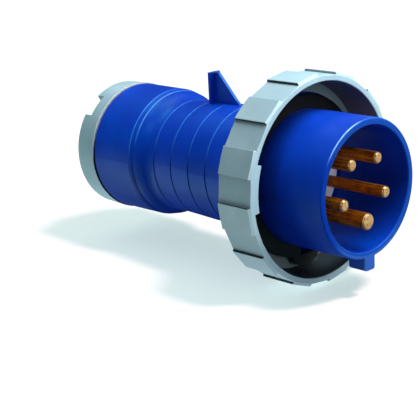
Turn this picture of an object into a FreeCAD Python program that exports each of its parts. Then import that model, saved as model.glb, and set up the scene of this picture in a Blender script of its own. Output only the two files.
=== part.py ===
import FreeCAD, Part
import math
import os

os.makedirs("parts", exist_ok=True)

V = FreeCAD.Vector

# ---------------------------------------------------------------------------
# Industrial pin and sleeve plug, 16 A size, four line pins and one earth pin,
# watertight type with a bayonet ring.
# Millimetres. The plug's axis is X. The origin is the centre of the shroud's
# front rim, +X points the way the pins point, +Z is up through the fin on the
# housing, so the key under the shroud and the earth pin are at the bottom.
# Angles (th) are measured about the axis from +Z towards -Y.
# ---------------------------------------------------------------------------

# shroud and flange of the front shell
SHROUD_R = 28.5            # outside radius of the shroud
SHROUD_RI = 25.7           # inside radius of the shroud
RIM_ROUND = 0.7            # rounding of the rim's outer edge
FLANGE_X = -36.0           # front face of the flange
FLANGE_T = 2.4
FLANGE_R = 34.6
FLANGE_RISE = 0.3          # the flange stands this much higher than the shroud
LOBE_HALF_W = 5.6          # lobe under the flange, behind the key
LOBE_R = 37.2
LEDGE_X = -37.1            # small ledge inside that the contact carrier meets
LEDGE_RI = 25.1
CARRIER_X = -38.0          # front face of the contact carrier
SPIGOT_R = 29.0            # spigot behind the flange, the ring turns on it
SPIGOT_END = -52.6
KEY_HALF_W = 3.05
KEY_R = 33.6
KEY_LEN = 8.3
POCKET_HALF_W = 3.4        # blind pocket in the flange, in line with the key
POCKET_R = 33.2
POCKET_DEPTH = 1.2

# pins
PIN_CIRCLE_R = 13.49
PIN_R = 2.5
PIN_TIP_X = -1.4
EARTH_R = 3.5
EARTH_TIP_X = -0.3
TIP_ROUND = 0.9
PIN_ANGLES = {"pin_line_1": 36.0, "pin_line_2": 108.0,
              "pin_line_3": 252.0, "pin_neutral": 324.0}
EARTH_ANGLE = 180.0
SHANK_EXTRA = 0.3          # the shank inside the carrier is this much thicker
BARREL_X0 = -44.0
BARREL_X1 = -60.0
BARREL_R = 4.6
EARTH_BARREL_R = 5.2
WIRE_HOLE_R = 1.9
EARTH_WIRE_HOLE_R = 2.2
WIRE_HOLE_DEPTH = 12.0
TERM_SCREW_X = -55.0
TERM_SCREW_R = 1.95

# contact carrier and pin retainer
CARRIER_R = 25.55
CARRIER_DISC_T = 5.0
CARRIER_BLOCK_R = 21.0
CARRIER_SKIRT_RI = 23.8
CARRIER_SKIRT_END = -52.9
RETAINER_T = 2.5
RETAINER_R = 20.8

# flange gasket
GASKET_T = 1.8
GASKET_R = 34.2
GASKET_LOBE_HALF_W = 7.9
GASKET_LOBE_R = 38.0

# bayonet ring
RING_X0 = -23.2            # front face
RING_X1 = -40.7            # rear face
RING_PAD_R = 44.3          # corner radius of the raised grip pads
RING_GROOVE_R = 43.2       # corner radius of the lower flats between them
RING_PADS = 12
RING_PHASE = 17.9          # angle at which one raised pad ends
RING_MOUTH_R = 40.6
RING_FLOOR_X = -38.5
RING_FLOOR_R = 39.5
RING_HOLE_R = 29.1
LUG_ANGLE = 83.5           # middle of the left bayonet lug, the other opposite
LUG_HALF_ANGLE = 14.0
LUG_R = 38.3
STOP_R = 36.2              # stop ribs on the ring's floor, either side of the lobe
STOP_A = (126.3, 130.5)
STOP_B = (189.5, 193.7)
STOP_X = -36.6

# rear housing
COLLAR_R = 34.0
COLLAR_X0 = -41.0
COLLAR_X1 = -44.0
SOCKET_R = 31.2            # outside of the socket that takes the spigot
SOCKET_RI = 29.1
SOCKET_END = -53.0
NECK_RI = 22.9
GRIP_LINES = (-66.6, -77.3, -88.7, -100.0)
GRIP_LINE_W = 0.8
GRIP_LINE_DEPTH = 0.4
SKIRT_X0 = -113.3
SKIRT_X1 = -136.8
SKIRT_R0 = 29.02
SKIRT_R1 = 29.15
SKIRT_RI = 26.6
WEB_X0 = -118.5
WEB_X1 = -121.0
GLAND_TUBE_R = 19.6
GLAND_TUBE_RI = 15.75
GLAND_TUBE_END = -138.6
GLAND_LIP_RI = 12.4
FIN_TOP = 39.5
FIN_PLATE_X0 = -84.9
FIN_PLATE_X1 = -86.2
FIN_PLATE_HALF_W = 3.3
FIN_WEB_HALF_T = 0.7

# cable gland
NUT_X0 = -137.7
NUT_X1 = -149.1
NUT_R0 = 29.6
NUT_R1 = 29.2
NUT_RIM_RI = 26.2
NUT_WALL_X0 = -141.1
NUT_WALL_X1 = -143.4
NUT_HUB_R = 22.5
NUT_HUB_RI = 19.75
NUT_HUB_X0 = -124.0
NUT_HOLE_R = 9.8
NUT_SEAT_R = 15.6          # seat that holds the thrust ring in the nut
NUT_SEAT_X = -139.0
NOTCH_ANGLES = (42.3, 162.3, 282.3)
NOTCH_HALF_ANGLE = 10.7
NOTCH_DEPTH = 4.9
BUSH_X0 = -121.3
BUSH_X1 = -137.0
BUSH_R = 13.1
BUSH_RI = 9.0
INSERT_RI = 6.5
CAGE_R = 15.5
CAGE_RI = 13.2
CAGE_FINGERS = 10


def rev(pts):
    """Solid of revolution about X from (x, r) points. A point given as
    (x, r, xm, rm) is reached by an arc through (xm, rm)."""
    edges = []
    n = len(pts)
    for i in range(n):
        a = pts[i]
        b = pts[(i + 1) % n]
        p0 = V(a[0], 0, a[1])
        p1 = V(b[0], 0, b[1])
        if len(b) == 4:
            edges.append(Part.Arc(p0, V(b[2], 0, b[3]), p1).toShape())
        else:
            edges.append(Part.LineSegment(p0, p1).toShape())
    face = Part.Face(Part.Wire(edges))
    s = face.revolve(V(0, 0, 0), V(1, 0, 0), 360)
    if s.ShapeType != "Solid":
        s = Part.makeSolid(Part.makeShell(s.Faces)) if not s.Solids else s.Solids[0]
    if s.Volume < 0:
        s.reverse()
    return s


def yz(r, th):
    """(y, z) of radius r at angle th."""
    t = math.radians(th)
    return -r * math.sin(t), r * math.cos(t)


def cylx(r, x0, x1, y=0.0, z=0.0):
    """Cylinder along X from x0 back to x1."""
    return Part.makeCylinder(r, abs(x1 - x0), V(max(x0, x1), y, z), V(-1, 0, 0))


def prism(points, x0, x1):
    """Prism along X from a closed list of (y, z) points."""
    w = Part.makePolygon([V(x0, y, z) for y, z in points] + [V(x0, points[0][0], points[0][1])])
    return Part.Face(w).extrude(V(x1 - x0, 0, 0))


def lobe(half_w, r, corner, x0, x1, z_top=-20.0):
    """Lobe hanging below the axis with two rounded lower corners."""
    e = []
    y0, y1 = -half_w, half_w
    zb = -r
    k = corner * (1 - math.sqrt(0.5))
    e.append(Part.LineSegment(V(x0, y0, z_top), V(x0, y0, zb + corner)).toShape())
    e.append(Part.Arc(V(x0, y0, zb + corner), V(x0, y0 + k, zb + k), V(x0, y0 + corner, zb)).toShape())
    e.append(Part.LineSegment(V(x0, y0 + corner, zb), V(x0, y1 - corner, zb)).toShape())
    e.append(Part.Arc(V(x0, y1 - corner, zb), V(x0, y1 - k, zb + k), V(x0, y1, zb + corner)).toShape())
    e.append(Part.LineSegment(V(x0, y1, zb + corner), V(x0, y1, z_top)).toShape())
    e.append(Part.LineSegment(V(x0, y1, z_top), V(x0, y0, z_top)).toShape())
    return Part.Face(Part.Wire(e)).extrude(V(x1 - x0, 0, 0))


def sector(r0, r1, th0, th1, x0, x1):
    """Ring sector between radii r0 and r1 and angles th0 and th1."""
    e = []
    tm = 0.5 * (th0 + th1)
    a, am, b = yz(r1, th0), yz(r1, tm), yz(r1, th1)
    c, cm, d = yz(r0, th1), yz(r0, tm), yz(r0, th0)
    e.append(Part.Arc(V(x0, *a), V(x0, *am), V(x0, *b)).toShape())
    e.append(Part.LineSegment(V(x0, *b), V(x0, *c)).toShape())
    e.append(Part.Arc(V(x0, *c), V(x0, *cm), V(x0, *d)).toShape())
    e.append(Part.LineSegment(V(x0, *d), V(x0, *a)).toShape())
    return Part.Face(Part.Wire(e)).extrude(V(x1 - x0, 0, 0))


def box(x0, x1, y0, y1, z0, z1):
    return Part.makeBox(abs(x1 - x0), abs(y1 - y0), abs(z1 - z0),
                        V(min(x0, x1), min(y0, y1), min(z0, z1)))


def radial_cyl(r, x, th, r0, r1):
    """Cylinder standing out from the axis at station x, from radius r0 to r1."""
    y0, z0 = yz(r0, th)
    y1, z1 = yz(r1, th)
    d = V(0, y1 - y0, z1 - z0)
    return Part.makeCylinder(r, d.Length, V(x, y0, z0), d)


def one(s):
    """The single solid of a boolean result, merged faces."""
    s = s.removeSplitter()
    if len(s.Solids) == 1:
        return s.Solids[0]
    raise RuntimeError("expected one solid, got %d" % len(s.Solids))


parts = {}

# ---------------------------------------------------------------------------
# front shell: shroud, key, flange with its lobe, and the spigot behind it
# ---------------------------------------------------------------------------
k = RIM_ROUND * (1 - math.sqrt(0.5))
shell = rev([
    (-0.25, SHROUD_RI), (0.0, SHROUD_RI + 0.25),
    (0.0, SHROUD_R - RIM_ROUND),
    (-RIM_ROUND, SHROUD_R, -k, SHROUD_R - k),
    (FLANGE_X, SHROUD_R), (FLANGE_X - 0.2, SPIGOT_R),
    (-45.6, SPIGOT_R), (-45.6, 27.6), (-47.6, 27.6), (-47.6, SPIGOT_R),
    (SPIGOT_END + 0.5, SPIGOT_R), (SPIGOT_END, SPIGOT_R - 0.5),
    (SPIGOT_END, SHROUD_RI),
    (CARRIER_X, SHROUD_RI), (CARRIER_X, LEDGE_RI),
    (LEDGE_X, LEDGE_RI), (LEDGE_X + 0.6, SHROUD_RI),
])
flange = rev([
    (FLANGE_X, 26.8), (FLANGE_X, FLANGE_R - 0.3), (FLANGE_X - 0.3, FLANGE_R),
    (FLANGE_X - FLANGE_T, FLANGE_R), (FLANGE_X - FLANGE_T, 26.8)])
flange.translate(V(0, 0, FLANGE_RISE))
shell = shell.fuse(flange)
shell = shell.fuse(lobe(LOBE_HALF_W, LOBE_R, 3.6, FLANGE_X, FLANGE_X - FLANGE_T, -30.0))
key = box(0, -KEY_LEN, -KEY_HALF_W, KEY_HALF_W, -KEY_R, -SHROUD_R + 1.0)
edges = []
for e in key.Edges:
    c = e.CenterOfMass
    if abs(c.z + KEY_R) < 1e-6 and (abs(abs(c.y) - KEY_HALF_W) < 1e-6 or abs(c.x + KEY_LEN) < 1e-6):
        edges.append(e)
key = key.makeFillet(1.1, edges)
shell = shell.fuse(key)
shell = shell.cut(box(FLANGE_X + 1, FLANGE_X - POCKET_DEPTH, -POCKET_HALF_W, POCKET_HALF_W,
                      -POCKET_R, -SHROUD_R - 0.001))
# hole for the lock screw
shell = shell.cut(radial_cyl(1.5, -50.2, 180, 24, 30))
parts["front_shell"] = one(shell)

# ---------------------------------------------------------------------------
# contact carrier: disc that closes the shroud, block with the pin chambers,
# and a skirt that the rear housing presses on
# ---------------------------------------------------------------------------
disc_end = CARRIER_X - CARRIER_DISC_T
carrier = rev([
    (CARRIER_X, 0.0), (CARRIER_X, CARRIER_R - 0.3), (CARRIER_X - 0.3, CARRIER_R),
    (CARRIER_SKIRT_END, CARRIER_R), (CARRIER_SKIRT_END, CARRIER_SKIRT_RI),
    (disc_end, CARRIER_SKIRT_RI), (disc_end, CARRIER_BLOCK_R),
    (BARREL_X1, CARRIER_BLOCK_R), (BARREL_X1, 0.0),
])
for name, th in list(PIN_ANGLES.items()) + [("pin_earth", EARTH_ANGLE)]:
    y, z = yz(PIN_CIRCLE_R, th)
    shank = (EARTH_R if name == "pin_earth" else PIN_R) + SHANK_EXTRA
    barrel = EARTH_BARREL_R if name == "pin_earth" else BARREL_R
    carrier = carrier.cut(cylx(shank + 0.05, CARRIER_X + 1, BARREL_X0 - 1, y, z))
    carrier = carrier.cut(cylx(barrel + 0.1, BARREL_X0, BARREL_X1 - 1, y, z))
    carrier = carrier.cut(radial_cyl(2.5, TERM_SCREW_X, th, PIN_CIRCLE_R, 23))
# weight-saving pockets between the chambers, as moulded
for th in (0.0, 72.0, 144.0, 216.0, 288.0):
    y, z = yz(17.2, th)
    carrier = carrier.cut(cylx(2.6, disc_end - 2.0, BARREL_X1 - 1, y, z))
carrier = carrier.cut(cylx(1.45, -48.0, BARREL_X1 - 1))
parts["contact_carrier"] = one(carrier)

# pin retainer plate and its screw
ret = cylx(RETAINER_R, BARREL_X1 - 0.1, BARREL_X1 - 0.1 - RETAINER_T)
for name, th in list(PIN_ANGLES.items()) + [("pin_earth", EARTH_ANGLE)]:
    y, z = yz(PIN_CIRCLE_R, th)
    ret = ret.cut(cylx(3.1 if name == "pin_earth" else 2.7, -50, -70, y, z))
ret = ret.cut(cylx(1.7, -50, -70))
# short rim that stiffens the plate
rim = rev([(-62.5, 19.2), (-62.5, RETAINER_R), (-64.6, RETAINER_R), (-64.6, 19.2)])
ret = ret.fuse(rim)
parts["pin_retainer"] = one(ret)

rs = rev([(-50.0, 0.0), (-50.0, 1.0), (-50.6, 1.4), (-62.7, 1.4), (-62.7, 2.9),
          (-64.3, 2.9), (-64.7, 2.5), (-64.7, 0.0)])
rs = rs.cut(box(-63.7, -66, -0.35, 0.35, -3.2, 3.2)).cut(box(-63.7, -66, -3.2, 3.2, -0.35, 0.35))
parts["retainer_screw"] = one(rs)


# ---------------------------------------------------------------------------
# pins: turned brass, tip, contact length, seated shank and a barrel with a
# wire hole and a cross hole for the terminal screw
# ---------------------------------------------------------------------------
def make_pin(th, r, tip, barrel, hole):
    kk = TIP_ROUND * (1 - math.sqrt(0.5))
    p = rev([
        (tip, 0.0), (tip, r - TIP_ROUND),
        (tip - TIP_ROUND, r, tip - kk, r - kk),
        (CARRIER_X, r), (CARRIER_X, r + SHANK_EXTRA),
        (BARREL_X0, r + SHANK_EXTRA), (BARREL_X0, barrel - 0.4), (BARREL_X0 - 0.4, barrel),
        (BARREL_X1 + 0.4, barrel), (BARREL_X1, barrel - 0.4),
        (BARREL_X1, hole + 0.4), (BARREL_X1 + 0.4, hole),
        (BARREL_X1 + WIRE_HOLE_DEPTH, hole), (BARREL_X1 + WIRE_HOLE_DEPTH + 1.0, 0.0),
    ])
    p.rotate(V(0, 0, 0), V(1, 0, 0), 0)
    y, z = yz(PIN_CIRCLE_R, th)
    p.translate(V(0, y, z))
    p = p.cut(radial_cyl(TERM_SCREW_R + 0.05, TERM_SCREW_X, th, PIN_CIRCLE_R, 21))
    return one(p)


for name, th in PIN_ANGLES.items():
    parts[name] = make_pin(th, PIN_R, PIN_TIP_X, BARREL_R, WIRE_HOLE_R)
parts["pin_earth"] = make_pin(EARTH_ANGLE, EARTH_R, EARTH_TIP_X, EARTH_BARREL_R, EARTH_WIRE_HOLE_R)

# terminal screws, one for each pin, slotted
screws = []
for th in list(PIN_ANGLES.values()) + [EARTH_ANGLE]:
    s = radial_cyl(TERM_SCREW_R, TERM_SCREW_X, th, PIN_CIRCLE_R + 1.2, PIN_CIRCLE_R + 6.6)
    y, z = yz(PIN_CIRCLE_R + 6.6, th)
    slot = box(TERM_SCREW_X - 3, TERM_SCREW_X + 3, -0.35, 0.35, -1.0, 1.0)
    slot.rotate(V(TERM_SCREW_X, 0, 0), V(1, 0, 0), th)
    slot.translate(V(0, y, z))
    screws.append(one(s.cut(slot)))
parts["terminal_screws"] = Part.makeCompound(screws)

# ---------------------------------------------------------------------------
# flange gasket: flat ring with a lobe round the pocket
# ---------------------------------------------------------------------------
g0, g1 = FLANGE_X + GASKET_T, FLANGE_X
gasket = rev([(g0, SHROUD_R + 0.06), (g0, GASKET_R - 0.25), (g0 - 0.25, GASKET_R),
              (g1, GASKET_R), (g1, SHROUD_R + 0.06)])
gl = lobe(GASKET_LOBE_HALF_W, GASKET_LOBE_R, 5.4, g0, g1, -31.0)
gasket = gasket.fuse(gl)
gasket = gasket.cut(box(g0 + 1, g1 - 1, -POCKET_HALF_W, POCKET_HALF_W, -POCKET_R, -SHROUD_R + 1))
parts["flange_gasket"] = one(gasket)

# ---------------------------------------------------------------------------
# bayonet ring: cup with raised grip pads, two lugs inside its mouth and two
# stop ribs on its floor
# ---------------------------------------------------------------------------
step = 180.0 / RING_PADS
outline = []
for i in range(2 * RING_PADS):
    t0 = RING_PHASE + (i - 1) * step
    r = RING_PAD_R if i % 2 == 0 else RING_GROOVE_R
    outline.append(yz(r, t0))
    outline.append(yz(r, t0 + step))
ring = prism(outline, RING_X0, RING_X1)
edges = []
for e in ring.Edges:
    a, b = e.Vertexes[0].Point, e.Vertexes[-1].Point
    if abs(a.x - b.x) > 5 and abs(math.hypot(a.y, a.z) - RING_PAD_R) < 0.01:
        edges.append(e)
ring = ring.makeFillet(0.28, edges)
ring = ring.common(rev([
    (RING_X0, 0.0), (RING_X0, 42.85), (RING_X0 - 0.85, 44.45),
    (RING_X1 + 0.6, 44.6), (RING_X1, 43.6), (RING_X1, 0.0)]))
ring = ring.cut(rev([
    (RING_X0 + 1, 0.0), (RING_X0 + 1, RING_MOUTH_R + 0.35), (RING_X0, RING_MOUTH_R + 0.35),
    (RING_X0 - 0.35, RING_MOUTH_R), (RING_FLOOR_X, RING_FLOOR_R),
    (RING_FLOOR_X, RING_HOLE_R), (RING_X1 - 1, RING_HOLE_R), (RING_X1 - 1, 0.0)]))
for base in (LUG_ANGLE, LUG_ANGLE + 180.0):
    lug = sector(LUG_R, 41.2, base - LUG_HALF_ANGLE, base + LUG_HALF_ANGLE, RING_X0 - 0.3, RING_X0 - 4.4)
    ring = ring.fuse(lug)
for a, b in (STOP_A, STOP_B):
    ring = ring.fuse(sector(STOP_R, 40.2, a, b, RING_FLOOR_X - 0.5, STOP_X))
parts["bayonet_ring"] = one(ring)

# ---------------------------------------------------------------------------
# rear housing: socket for the spigot, ringed neck, rounded shoulder, skirt,
# gland tube inside the skirt, and the fin on top
# ---------------------------------------------------------------------------
def neck_r(x):
    pts = [(-58.5, 26.15), (-66.6, 26.1), (-77.3, 26.0), (-88.7, 25.6), (-97.0, 25.3), (-101.0, 25.25)]
    for (xa, ra), (xb, rb) in zip(pts, pts[1:]):
        if xb <= x <= xa:
            return ra + (rb - ra) * (x - xa) / (xb - xa)
    return pts[-1][1]


outer = [(COLLAR_X0, COLLAR_R - 0.4), (COLLAR_X0 - 0.4, COLLAR_R),
         (COLLAR_X1 + 0.4, COLLAR_R), (COLLAR_X1, COLLAR_R - 0.4),
         (COLLAR_X1, SOCKET_R), (-52.6, SOCKET_R),
         (-58.5, neck_r(-58.5), -55.0, 27.7)]
for gx in GRIP_LINES:
    outer.append((gx + GRIP_LINE_W / 2, neck_r(gx + GRIP_LINE_W / 2)))
    outer.append((gx + 0.15, neck_r(gx) - GRIP_LINE_DEPTH))
    outer.append((gx - GRIP_LINE_W / 2, neck_r(gx - GRIP_LINE_W / 2)))
outer += [(-101.2, 25.27), (-106.2, 26.95, -103.9, 25.78), (-110.4, 28.40, -108.4, 27.90),
          (-110.6, 28.25), (SKIRT_X0, SKIRT_R0, -111.9, 28.76),
          (SKIRT_X1 + 0.25, SKIRT_R1), (SKIRT_X1, SKIRT_R1 - 0.25)]
inner = [(SKIRT_X1, SKIRT_RI), (WEB_X1, SKIRT_RI), (WEB_X1, GLAND_TUBE_R),
         (GLAND_TUBE_END + 0.5, GLAND_TUBE_R), (GLAND_TUBE_END, GLAND_TUBE_R - 0.5),
         (GLAND_TUBE_END, GLAND_TUBE_RI), (WEB_X1 - 0.1, GLAND_TUBE_RI),
         (WEB_X1 - 0.1, GLAND_LIP_RI), (WEB_X0, GLAND_LIP_RI + 0.6),
         (WEB_X0, 25.0), (-108.5, 25.0), (-104.0, NECK_RI), (SOCKET_END, NECK_RI),
         (SOCKET_END, SOCKET_RI), (COLLAR_X0, SOCKET_RI)]
housing = rev(outer + inner)
# fin: thin web with a cross plate at its rear
web = Part.Face(Part.makePolygon([
    V(FIN_PLATE_X1, -FIN_WEB_HALF_T, FIN_TOP), V(-82.65, -FIN_WEB_HALF_T, FIN_TOP),
    V(-81.75, -FIN_WEB_HALF_T, FIN_TOP - 0.55),
    V(-71.45, -FIN_WEB_HALF_T, 27.9), V(-69.45, -FIN_WEB_HALF_T, 25.9),
    V(-69.45, -FIN_WEB_HALF_T, 24.0), V(FIN_PLATE_X1, -FIN_WEB_HALF_T, 24.0),
    V(FIN_PLATE_X1, -FIN_WEB_HALF_T, FIN_TOP)])).extrude(V(0, 2 * FIN_WEB_HALF_T, 0))
plate = box(FIN_PLATE_X0, FIN_PLATE_X1, -FIN_PLATE_HALF_W, FIN_PLATE_HALF_W, 24.0, FIN_TOP)
vert = [e for e in plate.Edges if abs(e.Vertexes[0].Point.z - e.Vertexes[-1].Point.z) > 5]
plate = plate.makeFillet(0.3, vert)
top = [e for e in plate.Edges if e.CenterOfMass.z > FIN_TOP - 0.01]
plate = plate.makeFillet(0.25, top)
fin = plate.fuse(web)
housing = housing.fuse(fin)
# lock screw hole at the bottom of the socket
housing = housing.cut(radial_cyl(1.6, -50.2, 180, 28, 33))
parts["rear_housing"] = one(housing)

# sealing ring in the spigot's groove
parts["housing_seal"] = Part.makeTorus(28.35, 0.73, V(-46.6, 0, 0), V(1, 0, 0))

# lock screw through the socket wall into the spigot
ls = radial_cyl(1.4, -50.2, 180, 26.0, SOCKET_R + 0.3).fuse(radial_cyl(2.7, -50.2, 180, SOCKET_R + 0.02, SOCKET_R + 1.5))
sl = box(-53.4, -47.0, -0.4, 0.4, -SOCKET_R - 2.0, -SOCKET_R - 0.8)
parts["lock_screw"] = one(ls.cut(sl))

# ---------------------------------------------------------------------------
# cable gland
# ---------------------------------------------------------------------------
bush = rev([(BUSH_X0, BUSH_RI), (BUSH_X0, BUSH_R - 0.6), (BUSH_X0 - 0.6, BUSH_R),
            (BUSH_X1 + 0.6, BUSH_R), (BUSH_X1, BUSH_R - 0.6), (BUSH_X1, BUSH_RI)])
parts["seal_bush"] = one(bush)
ins = rev([(BUSH_X0, INSERT_RI), (BUSH_X0, BUSH_RI - 0.05), (BUSH_X1, BUSH_RI - 0.05), (BUSH_X1, INSERT_RI)])
parts["seal_bush_insert"] = one(ins)

cage = rev([(-121.2, CAGE_RI), (-121.2, CAGE_R), (-138.2, CAGE_R), (-139.3, CAGE_R - 0.8),
            (-139.3, 11.0), (-137.3, 11.0), (-137.3, CAGE_RI)])
for i in range(CAGE_FINGERS):
    s = box(-124.8, -141, -0.8, 0.8, 9.0, 18.0)
    s.rotate(V(0, 0, 0), V(1, 0, 0), 360.0 / CAGE_FINGERS * (i + 0.5))
    cage = cage.cut(s)
parts["clamp_cage"] = one(cage)

thrust = rev([(-139.5, 9.7), (-139.5, 15.5), (-141.0, 15.5), (-141.0, 9.7)])
parts["thrust_ring"] = one(thrust)

nut = rev([
    (NUT_X0, NUT_RIM_RI), (NUT_X0, NUT_R0 - 0.15), (NUT_X0 - 0.15, NUT_R0),
    (NUT_X0 - 1.6, NUT_R0 - 0.03),
    (NUT_X1 + 0.35, NUT_R1), (NUT_X1, NUT_R1 - 0.35),
    (NUT_X1, NUT_RIM_RI + 0.3), (NUT_X1 + 0.3, NUT_RIM_RI),
    (NUT_WALL_X1, NUT_RIM_RI), (NUT_WALL_X1, 12.6), (-146.4, 11.6),
    (-146.4, NUT_HOLE_R + 0.5), (-145.9, NUT_HOLE_R),
    (NUT_WALL_X0, NUT_HOLE_R), (NUT_WALL_X0, NUT_SEAT_R),
    (NUT_SEAT_X, NUT_SEAT_R), (NUT_SEAT_X, NUT_HUB_RI),
    (NUT_HUB_X0, NUT_HUB_RI), (NUT_HUB_X0, NUT_HUB_R),
    (-139.6, NUT_HUB_R), (-139.6, NUT_RIM_RI),
])
for th in NOTCH_ANGLES:
    nut = nut.cut(sector(24.5, 31.0, th - NOTCH_HALF_ANGLE, th + NOTCH_HALF_ANGLE,
                         NUT_X1 + NOTCH_DEPTH, NUT_X1 - 1))
parts["gland_nut"] = one(nut)

for name, shape in parts.items():
    print(name, "solids", len(shape.Solids), "valid", shape.isValid(),
          "volume", round(shape.Volume, 1))
    shape.exportStep("parts/%s.step" % name)
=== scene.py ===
import bpy, bmesh, math
from mathutils import Vector, Matrix

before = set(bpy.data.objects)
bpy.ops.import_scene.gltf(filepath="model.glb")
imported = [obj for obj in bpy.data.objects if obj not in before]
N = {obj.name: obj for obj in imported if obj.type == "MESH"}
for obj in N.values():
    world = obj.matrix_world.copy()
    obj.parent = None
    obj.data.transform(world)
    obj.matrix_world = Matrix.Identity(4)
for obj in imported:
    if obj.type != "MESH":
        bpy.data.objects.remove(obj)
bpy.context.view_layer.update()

MM = 0.001


# ---------------------------------------------------------------------------
# shader helpers
# ---------------------------------------------------------------------------
class Mat:
    def __init__(self, name):
        m = bpy.data.materials.new(name)
        m.use_nodes = True
        self.m = m
        self.nt = m.node_tree
        self.b = self.nt.nodes["Principled BSDF"]
        self.tc = self.nt.nodes.new("ShaderNodeTexCoord")
        self.geo = self.nt.nodes.new("ShaderNodeNewGeometry")

    def new(self, kind, **kw):
        n = self.nt.nodes.new("ShaderNode" + kind)
        for k, v in kw.items():
            setattr(n, k, v)
        return n

    def link(self, a, b):
        self.nt.links.new(a, b)

    def obj(self, scale=(1, 1, 1)):
        mp = self.new("Mapping")
        mp.inputs["Scale"].default_value = scale
        self.link(self.tc.outputs["Object"], mp.inputs["Vector"])
        return mp.outputs["Vector"]

    def noise(self, scale, detail=3.0, rough=0.55, vec=None, stretch=(1, 1, 1)):
        n = self.new("TexNoise")
        n.inputs["Scale"].default_value = scale
        n.inputs["Detail"].default_value = detail
        n.inputs["Roughness"].default_value = rough
        self.link(vec if vec is not None else self.obj(stretch), n.inputs["Vector"])
        return n.outputs["Fac"]

    def ramp(self, fac, stops):
        r = self.new("ValToRGB")
        e = r.color_ramp.elements
        while len(e) > 1:
            e.remove(e[-1])
        e[0].position, e[0].color = stops[0][0], (*stops[0][1], 1)
        for p, c in stops[1:]:
            x = e.new(p)
            x.color = (*c, 1)
        self.link(fac, r.inputs["Fac"])
        return r.outputs["Color"]

    def rng(self, fac, a, b, c, d):
        r = self.new("MapRange")
        r.inputs["From Min"].default_value = a
        r.inputs["From Max"].default_value = b
        r.inputs["To Min"].default_value = c
        r.inputs["To Max"].default_value = d
        self.link(fac, r.inputs["Value"])
        return r.outputs["Result"]

    def math(self, op, a, b=None, c=None, clamp=False):
        n = self.new("Math", operation=op, use_clamp=clamp)
        for i, v in enumerate((a, b, c)):
            if v is None:
                continue
            if isinstance(v, (int, float)):
                n.inputs[i].default_value = v
            else:
                self.link(v, n.inputs[i])
        return n.outputs[0]

    def mix(self, fac, a, b, mode="MIX"):
        n = self.new("Mix", data_type="RGBA", blend_type=mode)
        if isinstance(fac, (int, float)):
            n.inputs[0].default_value = fac
        else:
            self.link(fac, n.inputs[0])
        for i, v in ((6, a), (7, b)):
            if isinstance(v, tuple):
                n.inputs[i].default_value = (*v, 1)
            else:
                self.link(v, n.inputs[i])
        return n.outputs[2]

    def bump(self, height, strength, distance, normal=None):
        n = self.new("Bump")
        n.inputs["Strength"].default_value = strength
        n.inputs["Distance"].default_value = distance
        self.link(height, n.inputs["Height"])
        if normal is not None:
            self.link(normal, n.inputs["Normal"])
        return n.outputs["Normal"]

    def edge(self, radius, lo=0.02, hi=0.25):
        """Mask that is 1 on convex edges, from the angle between the face and its rounded edge."""
        bv = self.new("Bevel", samples=6)
        bv.inputs["Radius"].default_value = radius
        dot = self.new("VectorMath", operation="DOT_PRODUCT")
        self.link(bv.outputs["Normal"], dot.inputs[0])
        self.link(self.geo.outputs["True Normal"], dot.inputs[1])
        inv = self.math("SUBTRACT", 1.0, dot.outputs["Value"])
        return self.rng(inv, lo, hi, 0.0, 1.0), bv.outputs["Normal"]

    def radius(self):
        """Distance from the plug's axis, and the place along it, in metres."""
        sx = self.new("SeparateXYZ")
        self.link(self.tc.outputs["Object"], sx.inputs[0])
        y2 = self.math("MULTIPLY", sx.outputs[1], sx.outputs[1])
        z2 = self.math("MULTIPLY", sx.outputs[2], sx.outputs[2])
        return self.math("SQRT", self.math("ADD", y2, z2)), sx.outputs[0], sx.outputs[1], sx.outputs[2]


    def normal_parts(self):
        """Object-space normal split into along the axis, outwards from it, and round it."""
        r, x, y, z = self.radius()
        sn = self.new("SeparateXYZ")
        self.link(self.tc.outputs["Normal"], sn.inputs[0])
        nx, ny, nz = sn.outputs
        out = self.math("DIVIDE", self.math("ADD", self.math("MULTIPLY", ny, y), self.math("MULTIPLY", nz, z)), r)
        rnd = self.math("DIVIDE", self.math("SUBTRACT", self.math("MULTIPLY", ny, z), self.math("MULTIPLY", nz, y)), r)
        return r, x, y, z, nx, out, rnd


def srgb(h):
    h = h.lstrip("#")
    v = [int(h[i:i + 2], 16) / 255 for i in (0, 2, 4)]
    return tuple(c / 12.92 if c <= 0.04045 else ((c + 0.055) / 1.055) ** 2.4 for c in v)


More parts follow.
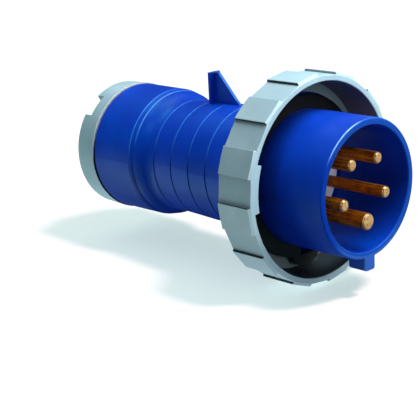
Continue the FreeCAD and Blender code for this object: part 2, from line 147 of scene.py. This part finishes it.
def moulded(name, base, light, dark, rough, grain=2600.0, grain_bump=0.10, edge_mix=0.35,
            spec=0.5, coat=0.0, flow=(1, 1, 1), tint=None, extra=None, edge_col=None,
            edge_r=0.00028, edge_gloss=0.06):
    """Moulded plastic: faint flow clouds, fine spark-eroded grain, paler edges that are partly wear and partly painted
    highlight, small scuffs.
    """
    M = Mat(name)
    cloud = M.noise(38.0, 4.0, 0.6, stretch=flow)
    speck = M.noise(900.0, 2.0, 0.6)
    col = M.ramp(cloud, [(0.32, dark), (0.55, base), (0.75, light)])
    col = M.mix(M.rng(speck, 0.35, 0.7, 0.0, 0.10), col, light)
    # paler edges: partly wear, partly painted highlight
    mask, rounded = M.edge(edge_r)
    wear_and_highlight = M.math("MULTIPLY", mask, M.rng(M.noise(160.0, 3.0, 0.6), 0.35, 0.65, 0.35, 1.0))
    col = M.mix(M.math("MULTIPLY", wear_and_highlight, edge_mix), col, edge_col or light)
    if extra:
        col = extra(M, col)
    M.link(col, M.b.inputs["Base Color"])
    if tint:
        M.b.inputs["Specular Tint"].default_value = (*tint, 1)
    scuff = M.noise(70.0, 5.0, 0.65, stretch=(0.35, 1, 1))
    r = M.math("ADD", M.rng(scuff, 0.35, 0.7, rough - 0.05, rough + 0.07),
               M.rng(speck, 0.3, 0.7, -0.02, 0.03))
    M.link(M.math("ADD", r, M.math("MULTIPLY", wear_and_highlight, -edge_gloss)), M.b.inputs["Roughness"])
    g = M.noise(grain, 2.0, 0.5)
    n = M.bump(g, grain_bump, 0.00003, rounded)
    n = M.bump(M.noise(120.0, 2.0, 0.5), 0.06, 0.0002, n)
    M.link(n, M.b.inputs["Normal"])
    M.b.inputs["Specular IOR Level"].default_value = spec
    if coat:
        M.b.inputs["Coat Weight"].default_value = coat
        M.b.inputs["Coat Roughness"].default_value = 0.3
    return M.m


def rubber(name, base, light, rough=0.55):
    M = Mat(name)
    cloud = M.noise(60.0, 4.0, 0.6)
    col = M.ramp(cloud, [(0.3, base), (0.7, light)])
    sp = M.new("SeparateXYZ")
    M.link(M.tc.outputs["Object"], sp.inputs[0])
    # painted light: the rubber painted lighter towards the bottom
    painted_low_light = M.rng(sp.outputs[2], -0.004, -0.024, 0.0, 0.85)
    col = M.mix(painted_low_light, col, srgb("#525a50"))
    # paler edges: partly wear, partly painted highlight
    mask, rounded = M.edge(0.0003)
    col = M.mix(M.math("MULTIPLY", mask, 0.5), col, tuple(c * 1.8 for c in light))
    M.link(col, M.b.inputs["Base Color"])
    M.link(M.rng(M.noise(400.0, 3.0, 0.6), 0.3, 0.7, rough - 0.08, rough + 0.1), M.b.inputs["Roughness"])
    n = M.bump(M.noise(1800.0, 3.0, 0.6), 0.25, 0.00004, rounded)
    M.link(n, M.b.inputs["Normal"])
    M.b.inputs["Specular IOR Level"].default_value = 0.22
    return M.m


def turned(name, side, deep, cap, cap_light):
    """Turned brass: rings from the lathe tool, darker tarnished sides, caps paled by wear, painted shade on the upper
    pins' caps, and paler edges that are partly wear and partly painted highlight.
    """
    M = Mat(name)
    rings = M.noise(1.0, 3.0, 0.7, stretch=(2600, 90, 90))
    broad = M.noise(1.0, 2.0, 0.6, stretch=(420, 160, 160))
    tarnish = M.noise(260.0, 4.0, 0.65)
    col = M.ramp(tarnish, [(0.3, deep), (0.7, side)])
    col = M.mix(M.rng(rings, 0.38, 0.66, 0.0, 0.45), col, deep)
    streak = M.noise(1.0, 3.0, 0.65, stretch=(45, 1500, 1500))
    col = M.mix(M.rng(streak, 0.50, 0.66, 0.0, 0.85), col, (1.0, 0.40, 0.03))
    sn = M.new("SeparateXYZ")
    M.link(M.tc.outputs["Normal"], sn.inputs[0])
    tip = M.rng(sn.outputs[0], 0.10, 0.45, 0.0, 1.0)
    face = M.mix(M.rng(M.noise(1500.0, 3.0, 0.7), 0.40, 0.56, 0.0, 1.0), cap, cap_light)
    # painted shade: the upper pins' caps painted darker
    place = M.new("SeparateXYZ")
    M.link(M.tc.outputs["Object"], place.inputs[0])
    face = M.mix(M.rng(place.outputs[2], 0.002, 0.006, 0.0, 0.30), face, srgb("#6e4c26"))
    col = M.mix(tip, col, face)
    # paler edges: partly wear, partly painted highlight
    mask, rounded = M.edge(0.0002)
    col = M.mix(M.math("MULTIPLY", mask, 0.5), col, cap_light)
    M.link(col, M.b.inputs["Base Color"])
    M.link(M.rng(tip, 0.0, 1.0, 0.40, 0.80), M.b.inputs["Metallic"])
    M.b.inputs["Specular IOR Level"].default_value = 0.15
    M.link(M.math("ADD", M.rng(broad, 0.3, 0.7, 0.26, 0.40), M.math("MULTIPLY", tip, -0.04)), M.b.inputs["Roughness"])
    n = M.bump(rings, 0.35, 0.00004, rounded)
    n = M.bump(M.noise(2200.0, 2.0, 0.6), 0.15, 0.00003, n)
    M.link(n, M.b.inputs["Normal"])
    return M.m


def plated(name, base, dark):
    M = Mat(name)
    cloud = M.noise(300.0, 4.0, 0.6)
    col = M.ramp(cloud, [(0.3, dark), (0.7, base)])
    mask, rounded = M.edge(0.0002)
    col = M.mix(M.math("MULTIPLY", mask, 0.5), col, (0.9, 0.9, 0.88))
    M.link(col, M.b.inputs["Base Color"])
    M.b.inputs["Metallic"].default_value = 1.0
    M.link(M.rng(M.noise(1500.0, 3.0, 0.6), 0.3, 0.7, 0.25, 0.42), M.b.inputs["Roughness"])
    n = M.bump(M.noise(2500.0, 3.0, 0.6), 0.2, 0.00003, rounded)
    M.link(n, M.b.inputs["Normal"])
    return M.m


def ring_painted_shade(M, col):
    """Dark step walls between the grip pads, less dark at the very top; painted shade inside the ring, with a paler
    painted lit patch, and painted shade on the floor deep inside.
    """
    r, x, y, z, nx, out, rnd = M.normal_parts()
    # dark step walls between the grip pads, less dark at the very top
    side = M.rng(M.math("ABSOLUTE", rnd), 0.55, 0.85, 0.0, 1.0)
    side = M.math("MULTIPLY", side, M.rng(r, 0.0418, 0.0424, 0.0, 1.0))
    side = M.math("MULTIPLY", side, M.rng(z, 0.0422, 0.0426, 1.0, 0.35))
    side = M.math("MULTIPLY", side, M.rng(M.noise(500.0, 2.0), 0.3, 0.6, 0.86, 1.0))
    col = M.mix(side, col, srgb("#0b1518"))
    # painted shade on the ring's inside: warm dark above, darker below, with a paler painted lit patch deep in towards
    # +Y
    inner = M.math("MULTIPLY", M.rng(out, -0.4, -0.8, 0.0, 1.0), M.rng(r, 0.0412, 0.0408, 0.0, 1.0))
    inner = M.math("MULTIPLY", inner, M.rng(x, -0.02325, -0.02345, 0.0, 1.0))
    bottom = M.math("MULTIPLY", M.rng(x, -0.0245, -0.0315, 0.0, 1.0), M.rng(y, -0.004, 0.008, 0.0, 1.0))
    bottom = M.mix(bottom, srgb("#141d20"), srgb("#54676d"))
    inner_shade_tone = M.mix(M.rng(z, -0.02, 0.01, 0.0, 1.0), bottom, srgb("#66575a"))
    col = M.mix(inner, col, inner_shade_tone)
    # painted shade on the forward-facing floor deep inside the ring
    deep = M.math("MULTIPLY", M.rng(nx, 0.5, 0.8, 0.0, 1.0), M.rng(x, -0.0343, -0.0350, 0.0, 1.0))
    return M.mix(M.math("MULTIPLY", deep, 0.80), col, srgb("#465453"))


def seam_painted_light(M, col):
    """Painted light and shade on the nut's forward face in the seam: paler towards the top as painted light, near black
    deep in the seam and lower down as painted shade.
    """
    r, x, y, z, nx, out, rnd = M.normal_parts()
    # painted light and shade on the nut's forward face: paler towards the top, near black deeper in the seam and lower
    # down
    face = M.math("MULTIPLY", M.rng(nx, 0.4, 0.7, 0.0, 1.0), M.rng(x, -0.1383, -0.1380, 0.0, 1.0))
    painted_lit = M.mix(M.rng(z, 0.004, 0.016, 0.0, 1.0), srgb("#93a9b2"), srgb("#bcc2bf"))
    inner = M.math("MULTIPLY_ADD", M.rng(z, -0.002, 0.010, 1.0, 0.0), 0.0012, 0.0282)
    outside_seam_shade = M.math("MULTIPLY", M.math("SUBTRACT", r, inner), 10000.0, clamp=True)
    return M.mix(face, col, M.mix(outside_seam_shade, srgb("#0b0d0d"), painted_lit))


def rim_lines_and_painted_light(M, col):
    """Fine tool rings on the shroud's rim face, toned with painted light and shade; a painted highlight on the rim's
    rounded edge at the upper left, painted light and shade on the rest of that edge.
    """
    r, x, y, z, nx, out, rnd = M.normal_parts()
    face = M.math("MULTIPLY", M.rng(x, -0.0009, -0.0003, 0.0, 1.0), M.rng(r, 0.0250, 0.0256, 0.0, 1.0))
    w = M.math("SINE", M.math("MULTIPLY", r, 2 * math.pi / 0.00052))
    lines = M.math("MULTIPLY", face, M.rng(w, -1.0, 1.0, 0.25, 0.75))
    # painted light and shade on the tool rings: darker towards -Y, paler low on the outer face
    tone = M.mix(M.rng(y, -0.016, -0.023, 0.0, 1.0), srgb("#2a74e6"), srgb("#0a48c0"))
    outer = M.math("MULTIPLY", M.rng(z, -0.018, -0.024, 0.0, 1.0), M.rng(r, 0.0266, 0.0272, 0.0, 1.0))
    tone = M.mix(outer, tone, srgb("#5a9cff"))
    col = M.mix(lines, col, tone)
    # painted highlight on the rim's rounded edge at the upper left; elsewhere on that edge painted light and shade,
    # darker towards -Y
    turn = M.math("MULTIPLY", M.rng(nx, 0.35, 0.55, 0.0, 1.0), M.rng(nx, 0.95, 0.80, 0.0, 1.0))
    turn = M.math("MULTIPLY", turn, M.math("MULTIPLY", M.rng(x, -0.0012, -0.0009, 0.0, 1.0), M.rng(r, 0.0276, 0.0278, 0.0, 1.0)))
    lit = M.math("MULTIPLY", M.rng(y, -0.003, -0.008, 0.0, 1.0), M.rng(y, -0.025, -0.021, 0.0, 1.0))
    lit = M.math("MULTIPLY", lit, M.rng(z, 0.012, 0.020, 0.0, 1.0))
    plain = M.mix(M.rng(y, -0.020, -0.025, 0.0, 1.0), srgb("#2766d6"), srgb("#0a40b4"))
    return M.mix(turn, col, M.mix(lit, plain, srgb("#9cc2ff")))


def groove_painted_light(M, col):
    """Painted light and shade on the grip lines' and the skirt's forward edges: painted highlight on top, painted shade
    underneath; painted highlights on the fin's edges and ridge.
    """
    r, x, y, z, nx, out, rnd = M.normal_parts()
    wall = M.math("MULTIPLY", M.rng(nx, 0.30, 0.50, 0.0, 1.0), M.rng(x, -0.060, -0.064, 0.0, 1.0))
    slope = M.math("MULTIPLY", M.rng(x, -0.1009, -0.1012, 0.0, 1.0), M.rng(x, -0.1138, -0.1134, 0.0, 1.0))
    wall = M.math("MULTIPLY", wall, M.math("SUBTRACT", 1.0, slope))
    wall = M.math("MULTIPLY", wall, M.rng(r, 0.0300, 0.0294, 0.0, 1.0))
    sloped = M.math("MAXIMUM", M.rng(out, 0.30, 0.50, 0.0, 1.0), M.rng(x, -0.1120, -0.1128, 0.0, 1.0))
    wall = M.math("MULTIPLY", wall, sloped)
    wall = M.math("MULTIPLY", wall, M.rng(M.noise(300.0, 2.0), 0.3, 0.6, 0.7, 1.0))
    # painted highlight on the groove walls above, painted shade below
    tone = M.mix(M.rng(z, 0.002, 0.012, 0.0, 1.0), srgb("#0a2c86"), srgb("#2a6cd8"))
    col = M.mix(wall, col, tone)

    def line(a, b):
        return M.math("MULTIPLY", M.math("MULTIPLY", M.rng(x, a - 0.00025, a, 0.0, 1.0), M.rng(x, b + 0.00025, b, 0.0, 1.0)),
                      M.rng(r, 0.0270, 0.0274, 0.0, 1.0))
    # painted highlights on top of the skirt's forward edge lines
    above = M.rng(z, 0.001, 0.012, 0.0, 1.0)
    below = M.rng(z, 0.004, -0.006, 0.0, 1.0)
    uneven = M.rng(M.noise(240.0, 2.0), 0.3, 0.6, 0.75, 1.0)
    painted_lit = M.math("MULTIPLY", M.math("MULTIPLY", line(-0.1129, -0.1125), above), uneven)
    col = M.mix(painted_lit, col, srgb("#3d7fe6"))
    painted_lit = M.math("MULTIPLY", M.math("MULTIPLY", line(-0.1103, -0.1098), M.rng(z, 0.008, 0.018, 0.0, 1.0)), uneven)
    col = M.mix(painted_lit, col, srgb("#5896ee"))
    # painted shade on their lower side
    col = M.mix(M.math("MULTIPLY", M.math("MULTIPLY", line(-0.1130, -0.1109), below), 0.75), col, srgb("#072c92"))
    col = M.mix(M.math("MULTIPLY", M.math("MULTIPLY", line(-0.1109, -0.1106), below), 0.85), col, srgb("#001760"))
    # painted highlight on the fin's upper edges
    mask, rounded = M.edge(0.0005, 0.02, 0.15)
    fin = M.math("MULTIPLY", mask, M.rng(z, 0.0278, 0.0284, 0.0, 1.0))
    fin = M.math("MULTIPLY", fin, M.rng(M.math("ABSOLUTE", y), 0.0036, 0.0034, 0.0, 1.0))
    ay = M.math("ABSOLUTE", y)
    outer_edge = M.math("MAXIMUM", M.rng(ay, 0.0022, 0.0028, 0.0, 1.0), M.rng(x, -0.0842, -0.0838, 0.0, 1.0))
    outer_edge = M.math("MAXIMUM", outer_edge, M.rng(z, 0.0388, 0.0391, 0.0, 1.0))
    fin = M.math("MULTIPLY", fin, outer_edge)
    # painted highlight along the fin's slanted ridge
    ridge = M.math("MULTIPLY", M.rng(nx, 0.5, 0.7, 0.0, 1.0), M.rng(out, 0.25, 0.4, 0.0, 1.0))
    ridge = M.math("MULTIPLY", ridge, M.rng(z, 0.0278, 0.0284, 0.0, 1.0))
    ridge = M.math("MULTIPLY", ridge, M.rng(M.math("ABSOLUTE", y), 0.0010, 0.0008, 0.0, 1.0))
    col = M.mix(ridge, col, srgb("#2f7ae8"))
    return M.mix(M.math("MULTIPLY", fin, 0.8), col, srgb("#8fbeff"))


BLUE = srgb("#0a3ab8")
TINT = (0.06, 0.48, 1.0)
blue = moulded("moulded_blue", BLUE, srgb("#0048c8"), srgb("#0034a8"), 0.38, tint=TINT, spec=0.42,
               edge_mix=0.6, edge_col=srgb("#2f74dc"), extra=groove_painted_light)
blue_shell = moulded("moulded_blue_shell", BLUE, srgb("#0048c8"), srgb("#0034a8"), 0.36, tint=TINT,
                     spec=0.42, extra=rim_lines_and_painted_light, edge_mix=0.30, edge_col=srgb("#5a98ee"), edge_gloss=0.18)
grey = moulded("moulded_grey", srgb("#8badb9"), srgb("#9fbfc9"), srgb("#81a2ae"), 0.46, tint=(1.0, 1.0, 1.0),
               edge_mix=0.8, edge_col=srgb("#dcecef"), extra=seam_painted_light)
grey_ring = moulded("moulded_grey_ring", srgb("#8aa8b3"), srgb("#99b6c0"), srgb("#819faa"), 0.46,
                    tint=(1.0, 1.0, 1.0), extra=ring_painted_shade, edge_mix=0.85, edge_col=srgb("#dcecf2"))
carrier_m = moulded("moulded_carrier", srgb("#c9c6d4"), srgb("#dcdae2"), srgb("#aeacb9"), 0.55)
black_pl = moulded("moulded_black", srgb("#1b1c1f"), srgb("#2c2d31"), srgb("#131416"), 0.5)
black_rb = rubber("black_rubber", srgb("#0a0c0c"), srgb("#121515"))
brass = turned("turned_brass", (0.82, 0.225, 0.004), (0.14, 0.030, 0.0), srgb("#bd8c50"), srgb("#efcf98"))
steel = plated("plated_steel", srgb("#b9bcc0"), srgb("#8b8e93"))

use = {
    "front_shell": blue_shell, "rear_housing": blue, "bayonet_ring": grey_ring, "gland_nut": grey,
    "contact_carrier": carrier_m, "pin_retainer": carrier_m, "retainer_screw": steel,
    "pin_line_1": brass, "pin_line_2": brass, "pin_line_3": brass, "pin_neutral": brass,
    "pin_earth": brass, "terminal_screws": steel, "flange_gasket": black_rb,
    "housing_seal": black_rb, "lock_screw": steel, "seal_bush": black_rb,
    "seal_bush_insert": black_rb, "clamp_cage": black_pl, "thrust_ring": black_pl,
}
for name, mat in use.items():
    o = N[name]
    if not o.material_slots:
        o.data.materials.append(mat)
    for s in o.material_slots:
        s.material = mat

# ---------------------------------------------------------------------------
# floor, light and camera
# ---------------------------------------------------------------------------
FLOOR_Z = -0.04435
FLOOR_RISE = 0.03          # the floor rises slightly towards the nut
bm = bmesh.new()
bmesh.ops.create_grid(bm, x_segments=8, y_segments=8, size=8.0)
me = bpy.data.meshes.new("floor")
bm.to_mesh(me)
bm.free()
floor = bpy.data.objects.new("floor", me)
bpy.context.collection.objects.link(floor)
floor.location = (-0.0407, 0, FLOOR_Z)
floor.rotation_euler = (0, math.atan(FLOOR_RISE), 0)
F = Mat("floor_white")
F.link(F.ramp(F.noise(6.0, 3.0), [(0.3, (0.54, 0.54, 0.54)), (0.7, (0.56, 0.56, 0.56))]), F.b.inputs["Base Color"])
F.b.inputs["Roughness"].default_value = 0.9
F.b.inputs["Specular IOR Level"].default_value = 0.1
floor.data.materials.append(F.m)

# a darker card just under the floor that only bounced light meets: it keeps the underside in shade
bm = bmesh.new()
bmesh.ops.create_grid(bm, x_segments=1, y_segments=1, size=7.0)
me = bpy.data.meshes.new("card")
bm.to_mesh(me)
bm.free()
card = bpy.data.objects.new("card", me)
bpy.context.collection.objects.link(card)
card.location = (-0.0407, 0, FLOOR_Z - 0.0005)
card.rotation_euler = floor.rotation_euler
card.visible_camera = False
card.visible_shadow = False
floor.visible_diffuse = False
floor.visible_glossy = False
floor.visible_shadow = False
C = Mat("card_grey")
C.link(C.ramp(C.noise(5.0, 2.0), [(0.3, (0.26, 0.33, 0.36)), (0.7, (0.29, 0.36, 0.39))]), C.b.inputs["Base Color"])
C.b.inputs["Roughness"].default_value = 0.8
C.b.inputs["Specular IOR Level"].default_value = 0.1
card.data.materials.append(C.m)

world = bpy.data.worlds.new("studio")
bpy.context.scene.world = world
world.use_nodes = True
wn = world.node_tree
bg = wn.nodes["Background"]
tc = wn.nodes.new("ShaderNodeTexCoord")
sep = wn.nodes.new("ShaderNodeSeparateXYZ")
wn.links.new(tc.outputs["Generated"], sep.inputs[0])
ramp = wn.nodes.new("ShaderNodeValToRGB")
el = ramp.color_ramp.elements
el[0].position, el[0].color = 0.0, (0.05, 0.055, 0.06, 1)
el[1].position, el[1].color = 1.0, (1.20, 1.27, 1.30, 1)
x = el.new(0.60); x.color = (0.055, 0.06, 0.065, 1)
x = el.new(0.80); x.color = (0.42, 0.46, 0.48, 1)
wn.links.new(sep.outputs[2], ramp.inputs["Fac"])
lp = wn.nodes.new("ShaderNodeLightPath")
mx = wn.nodes.new("ShaderNodeMix"); mx.data_type = "RGBA"
wn.links.new(lp.outputs["Is Camera Ray"], mx.inputs[0])
wn.links.new(ramp.outputs["Color"], mx.inputs[6])
mx.inputs[7].default_value = (0.97, 0.98, 0.98, 1)
wn.links.new(mx.outputs[2], bg.inputs["Color"])
bg.inputs["Strength"].default_value = 1.0


def aim(o, loc, target):
    o.location = loc
    d = Vector(target) - Vector(loc)
    o.rotation_euler = d.to_track_quat("-Z", "Y").to_euler()


def lamp(name, kind, energy, loc, target, color=(1, 1, 1), **kw):
    l = bpy.data.lights.new(name, kind)
    l.energy = energy
    l.color = color
    for k, v in kw.items():
        setattr(l, k, v)
    o = bpy.data.objects.new(name, l)
    bpy.context.collection.objects.link(o)
    aim(o, loc, target)
    return o


# lights for the floor alone and for the part alone are kept apart, so that the floor stays pale
only_floor = bpy.data.collections.new("floor_only")
only_floor.objects.link(floor)
only_part = bpy.data.collections.new("part_only")
for o in N.values():
    only_part.objects.link(o)


def towards(az, elv):
    a, e = math.radians(az), math.radians(elv)
    return Vector((math.cos(e) * math.cos(a), math.cos(e) * math.sin(a), math.sin(e)))


greys = bpy.data.collections.new("grey_only")
for n in ("bayonet_ring", "gland_nut"):
    greys.objects.link(N[n])
key = lamp("key", "AREA", 1.45, (0.10, 0.06, 0.42), (-0.03, 0, 0), size=0.26)
most = bpy.data.collections.new("key_lit")
for n, o in N.items():
    if n != "rear_housing" and not n.startswith("pin_"):
        most.objects.link(o)
key.light_linking.receiver_collection = most
housing_only = bpy.data.collections.new("housing_only")
housing_only.objects.link(N["rear_housing"])
key_rear = lamp("key_rear", "AREA", 0.40, (0.10, 0.06, 0.42), (-0.03, 0, 0), size=0.26)
key_rear.light_linking.receiver_collection = housing_only
floor_key = lamp("floor_key", "SUN", 3.0, towards(26, 60.5) * 2, (0, 0, 0), angle=math.radians(12), color=(1.0, 0.72, 0.72))
floor_key.light_linking.receiver_collection = only_floor
top = lamp("top", "AREA", 1.85, (0.0, 0.12, 0.55), (-0.08, 0, 0), size=0.45)
top.light_linking.receiver_collection = only_part
key_grey = lamp("key_grey", "AREA", 0.46, (0.06, -0.03, 0.45), (-0.03, 0, 0), size=0.26, color=(1.0, 0.88, 0.82))
key_grey.light_linking.receiver_collection = greys
front_grey = lamp("front_grey", "AREA", 3.5, (0.9, -0.05, 0.15), (0, 0, 0), size=0.35)
grey_faces = bpy.data.collections.new("grey_faces")
for n in ("bayonet_ring", "gland_nut", "contact_carrier"):
    grey_faces.objects.link(N[n])
front_grey.light_linking.receiver_collection = grey_faces
under_grey = lamp("under_grey", "AREA", 5.8, (-0.10, -0.14, -0.53), (-0.05, 0, 0), size=0.6)
under_grey.light_linking.receiver_collection = greys
fill = lamp("floor_fill", "SUN", 3.6, (0, 0, 2), (0, 0, 0), color=(0.83, 1.0, 0.98), use_shadow=False)
fill.light_linking.receiver_collection = only_floor
front = lamp("front", "AREA", 3.3, towards(33, 30) * 0.9, (0, 0, 0), size=0.35)
front.light_linking.receiver_collection = only_part
under = lamp("under", "AREA", 1.75, (-0.46, -0.34, -0.33), (-0.06, 0, 0), size=0.5, color=(0.88, 1.12, 1.0))
under.light_linking.receiver_collection = only_part

blues = bpy.data.collections.new("blue_only")
for n in ("front_shell", "rear_housing"):
    blues.objects.link(N[n])
pins_only = bpy.data.collections.new("pins_only")
for n in ("pin_line_1", "pin_line_2", "pin_line_3", "pin_neutral", "pin_earth"):
    pins_only.objects.link(N[n])
pin_glow = lamp("pin_glow", "AREA", 1.32, towards(47, -16) * 0.5, (0, 0, 0), size=0.3, color=(1.0, 0.93, 0.82))
pin_glow.light_linking.receiver_collection = pins_only
pin_side = lamp("pin_side", "AREA", 0.34, (0.30, -0.34, 0.10), (-0.02, 0, 0), size=0.3, color=(1.0, 0.68, 0.26))
pin_side.light_linking.receiver_collection = pins_only
lip = bpy.data.collections.new("ring_only")
lip.objects.link(N["bayonet_ring"])
lip_glow = lamp("lip_glow", "AREA", 0.22, (0.10, 0.03, 0.13), (-0.02, 0.01, 0.03), size=0.05, color=(1.0, 0.95, 0.90))
lip_glow.light_linking.receiver_collection = lip
rim = lamp("rim", "AREA", 0.4, towards(-96, 50) * 0.6, (0, 0, 0), size=0.06)
rim.light_linking.receiver_collection = blues
shoulder = lamp("shoulder", "AREA", 0.50, (-0.32, -0.05, 0.46), (-0.11, 0, 0), shape="RECTANGLE", size=0.2, size_y=0.05,
                color=(0.25, 1.0, 1.0))
shoulder.light_linking.receiver_collection = housing_only
shell_only = bpy.data.collections.new("shell_only")
shell_only.objects.link(N["front_shell"])
low = lamp("low", "AREA", 0.62, (0.22, -0.22, -0.38), (-0.01, 0, 0), size=0.35, color=(0.15, 0.6, 1.0))
low.light_linking.receiver_collection = shell_only

cam_d = bpy.data.cameras.new("camera")
cam = bpy.data.objects.new("camera", cam_d)
bpy.context.collection.objects.link(cam)
right = Vector((0.6897, 0.7224, -0.0487)).normalized()
back = Vector((0.7048, -0.6544, 0.2740)).normalized()
up = back.cross(right).normalized()
right = up.cross(back).normalized()
m = Matrix((right, up, back)).transposed().to_4x4()
m.translation = Vector((0.291086, -0.356106, 0.124645))
cam.matrix_world = m
cam_d.sensor_width = 36.0
cam_d.lens = 1200.0 * 36.0 / 420.0
cam_d.clip_end = 50
bpy.context.scene.camera = cam
bpy.context.scene.view_settings.view_transform = "Standard"
